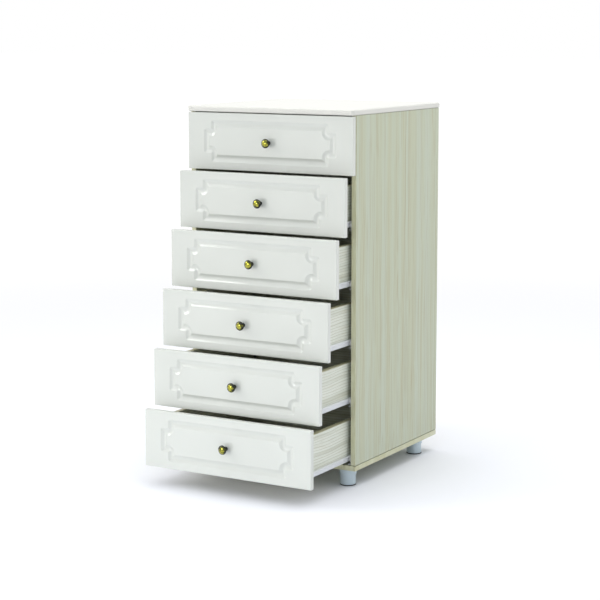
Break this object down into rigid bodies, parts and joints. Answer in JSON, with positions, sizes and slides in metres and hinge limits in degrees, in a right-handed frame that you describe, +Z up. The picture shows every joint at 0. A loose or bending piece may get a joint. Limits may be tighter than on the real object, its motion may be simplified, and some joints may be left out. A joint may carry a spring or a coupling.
{
  "type": "tall chest of drawers",
  "caption": "Tall chest of drawers: white fronts with milled notched ornament and round knobs, light wood-grain laminate carcass, white rounded top, roller runners and short round legs.",
  "frame": {"origin": "on the floor, at the centre of the rectangle of the four legs", "axes": "+Z up along the height, drawer fronts face -Y, +X across the width"},
  "size_m": [0.604, 0.8725, 1.173],
  "materials": {
    "oak_laminate": "bleached oak laminate, satin",
    "white_top": "white laminate over chipboard, satin",
    "white_front": "white film over milled fibreboard, glossy",
    "back_board": "thin fibreboard, laminate printed",
    "drawer_laminate": "light laminate with a wavy grain, satin",
    "base_board": "thin fibreboard, matt",
    "silver_plastic": "silver-grey paint on plastic, satin",
    "dark_plastic": "dark plastic, matt",
    "white_steel": "white powder coat on steel",
    "white_nylon": "white nylon",
    "zinc_steel": "zinc-plated steel",
    "antique_brass": "dark antique brass, semi-gloss"
  },
  "bodies": {
    "carcass": {"side_panel_right": "oak_laminate", "side_panel_left": "oak_laminate", "top_panel": "white_top", "bottom_panel": "oak_laminate", "back_panel": "back_board", "legs": "silver_plastic", "leg_glides": "dark_plastic", "cabinet_rails_right": "white_steel", "cabinet_rails_left": "white_steel", "carcass_fasteners": "zinc_steel", "rail_screws": "zinc_steel", "back_panel_nails": "zinc_steel"},
    "drawer_1": {"drawer_1_front": "white_front", "drawer_1_sides": "drawer_laminate", "drawer_1_back": "drawer_laminate", "drawer_1_base": "base_board", "drawer_1_runners": "white_steel", "drawer_1_knob": "antique_brass"},
    "drawer_1_rollers_body": {"drawer_1_rollers": "white_nylon"},
    "cabinet_rollers_1_body": {"cabinet_rollers_1": "white_nylon"},
    "drawer_2": {"drawer_2_front": "white_front", "drawer_2_sides": "drawer_laminate", "drawer_2_back": "drawer_laminate", "drawer_2_base": "base_board", "drawer_2_runners": "white_steel", "drawer_2_knob": "antique_brass"},
    "drawer_2_rollers_body": {"drawer_2_rollers": "white_nylon"},
    "cabinet_rollers_2_body": {"cabinet_rollers_2": "white_nylon"},
    "drawer_3": {"drawer_3_front": "white_front", "drawer_3_sides": "drawer_laminate", "drawer_3_back": "drawer_laminate", "drawer_3_base": "base_board", "drawer_3_runners": "white_steel", "drawer_3_knob": "antique_brass"},
    "drawer_3_rollers_body": {"drawer_3_rollers": "white_nylon"},
    "cabinet_rollers_3_body": {"cabinet_rollers_3": "white_nylon"},
    "drawer_4": {"drawer_4_front": "white_front", "drawer_4_sides": "drawer_laminate", "drawer_4_back": "drawer_laminate", "drawer_4_base": "base_board", "drawer_4_runners": "white_steel", "drawer_4_knob": "antique_brass"},
    "drawer_4_rollers_body": {"drawer_4_rollers": "white_nylon"},
    "cabinet_rollers_4_body": {"cabinet_rollers_4": "white_nylon"},
    "drawer_5": {"drawer_5_front": "white_front", "drawer_5_sides": "drawer_laminate", "drawer_5_back": "drawer_laminate", "drawer_5_base": "base_board", "drawer_5_runners": "white_steel", "drawer_5_knob": "antique_brass"},
    "drawer_5_rollers_body": {"drawer_5_rollers": "white_nylon"},
    "cabinet_rollers_5_body": {"cabinet_rollers_5": "white_nylon"},
    "drawer_6": {"drawer_6_front": "white_front", "drawer_6_sides": "drawer_laminate", "drawer_6_back": "drawer_laminate", "drawer_6_base": "base_board", "drawer_6_runners": "white_steel", "drawer_6_knob": "antique_brass"},
    "drawer_6_rollers_body": {"drawer_6_rollers": "white_nylon"},
    "cabinet_rollers_6_body": {"cabinet_rollers_6": "white_nylon"}
  },
  "joints": [
    {"name": "drawer_1_slide", "type": "slide", "parent": "carcass", "child": "drawer_1", "axis": [0, -1, 0], "range_m": [0, 0.42]},
    {"name": "cabinet_rollers_1_spin", "type": "hinge", "parent": "carcass", "child": "cabinet_rollers_1_body", "pos_m": [0, -0.247, 1.00312], "axis": [1, 0, 0], "continuous": true},
    {"name": "drawer_1_rollers_spin", "type": "hinge", "parent": "drawer_1", "child": "drawer_1_rollers_body", "pos_m": [0, 0.271, 0.99952], "axis": [1, 0, 0], "continuous": true},
    {"name": "drawer_2_slide", "type": "slide", "parent": "carcass", "child": "drawer_2", "axis": [0, -1, 0], "range_m": [-0.051, 0.369]},
    {"name": "cabinet_rollers_2_spin", "type": "hinge", "parent": "carcass", "child": "cabinet_rollers_2_body", "pos_m": [0, -0.247, 0.82003], "axis": [1, 0, 0], "continuous": true},
    {"name": "drawer_2_rollers_spin", "type": "hinge", "parent": "drawer_2", "child": "drawer_2_rollers_body", "pos_m": [0, 0.22, 0.81643], "axis": [1, 0, 0], "continuous": true},
    {"name": "drawer_3_slide", "type": "slide", "parent": "carcass", "child": "drawer_3", "axis": [0, -1, 0], "range_m": [-0.102, 0.318]},
    {"name": "cabinet_rollers_3_spin", "type": "hinge", "parent": "carcass", "child": "cabinet_rollers_3_body", "pos_m": [0, -0.247, 0.63695], "axis": [1, 0, 0], "continuous": true},
    {"name": "drawer_3_rollers_spin", "type": "hinge", "parent": "drawer_3", "child": "drawer_3_rollers_body", "pos_m": [0, 0.169, 0.63335], "axis": [1, 0, 0], "continuous": true},
    {"name": "drawer_4_slide", "type": "slide", "parent": "carcass", "child": "drawer_4", "axis": [0, -1, 0], "range_m": [-0.153, 0.267]},
    {"name": "cabinet_rollers_4_spin", "type": "hinge", "parent": "carcass", "child": "cabinet_rollers_4_body", "pos_m": [0, -0.247, 0.45387], "axis": [1, 0, 0], "continuous": true},
    {"name": "drawer_4_rollers_spin", "type": "hinge", "parent": "drawer_4", "child": "drawer_4_rollers_body", "pos_m": [0, 0.118, 0.45027], "axis": [1, 0, 0], "continuous": true},
    {"name": "drawer_5_slide", "type": "slide", "parent": "carcass", "child": "drawer_5", "axis": [0, -1, 0], "range_m": [-0.204, 0.216]},
    {"name": "cabinet_rollers_5_spin", "type": "hinge", "parent": "carcass", "child": "cabinet_rollers_5_body", "pos_m": [0, -0.247, 0.27078], "axis": [1, 0, 0], "continuous": true},
    {"name": "drawer_5_rollers_spin", "type": "hinge", "parent": "drawer_5", "child": "drawer_5_rollers_body", "pos_m": [0, 0.067, 0.26718], "axis": [1, 0, 0], "continuous": true},
    {"name": "drawer_6_slide", "type": "slide", "parent": "carcass", "child": "drawer_6", "axis": [0, -1, 0], "range_m": [-0.255, 0.165]},
    {"name": "cabinet_rollers_6_spin", "type": "hinge", "parent": "carcass", "child": "cabinet_rollers_6_body", "pos_m": [0, -0.247, 0.0877], "axis": [1, 0, 0], "continuous": true},
    {"name": "drawer_6_rollers_spin", "type": "hinge", "parent": "drawer_6", "child": "drawer_6_rollers_body", "pos_m": [0, 0.016, 0.0841], "axis": [1, 0, 0], "continuous": true}
  ],
  "couplings": [
    {"joint": "cabinet_rollers_1_spin", "follows": "drawer_1_slide", "rad_per_m": 100},
    {"joint": "drawer_1_rollers_spin", "follows": "drawer_1_slide", "rad_per_m": 100},
    {"joint": "cabinet_rollers_2_spin", "follows": "drawer_2_slide", "rad_per_m": 100},
    {"joint": "drawer_2_rollers_spin", "follows": "drawer_2_slide", "rad_per_m": 100},
    {"joint": "cabinet_rollers_3_spin", "follows": "drawer_3_slide", "rad_per_m": 100},
    {"joint": "drawer_3_rollers_spin", "follows": "drawer_3_slide", "rad_per_m": 100},
    {"joint": "cabinet_rollers_4_spin", "follows": "drawer_4_slide", "rad_per_m": 100},
    {"joint": "drawer_4_rollers_spin", "follows": "drawer_4_slide", "rad_per_m": 100},
    {"joint": "cabinet_rollers_5_spin", "follows": "drawer_5_slide", "rad_per_m": 100},
    {"joint": "drawer_5_rollers_spin", "follows": "drawer_5_slide", "rad_per_m": 100},
    {"joint": "cabinet_rollers_6_spin", "follows": "drawer_6_slide", "rad_per_m": 100},
    {"joint": "drawer_6_rollers_spin", "follows": "drawer_6_slide", "rad_per_m": 100}
  ]
}
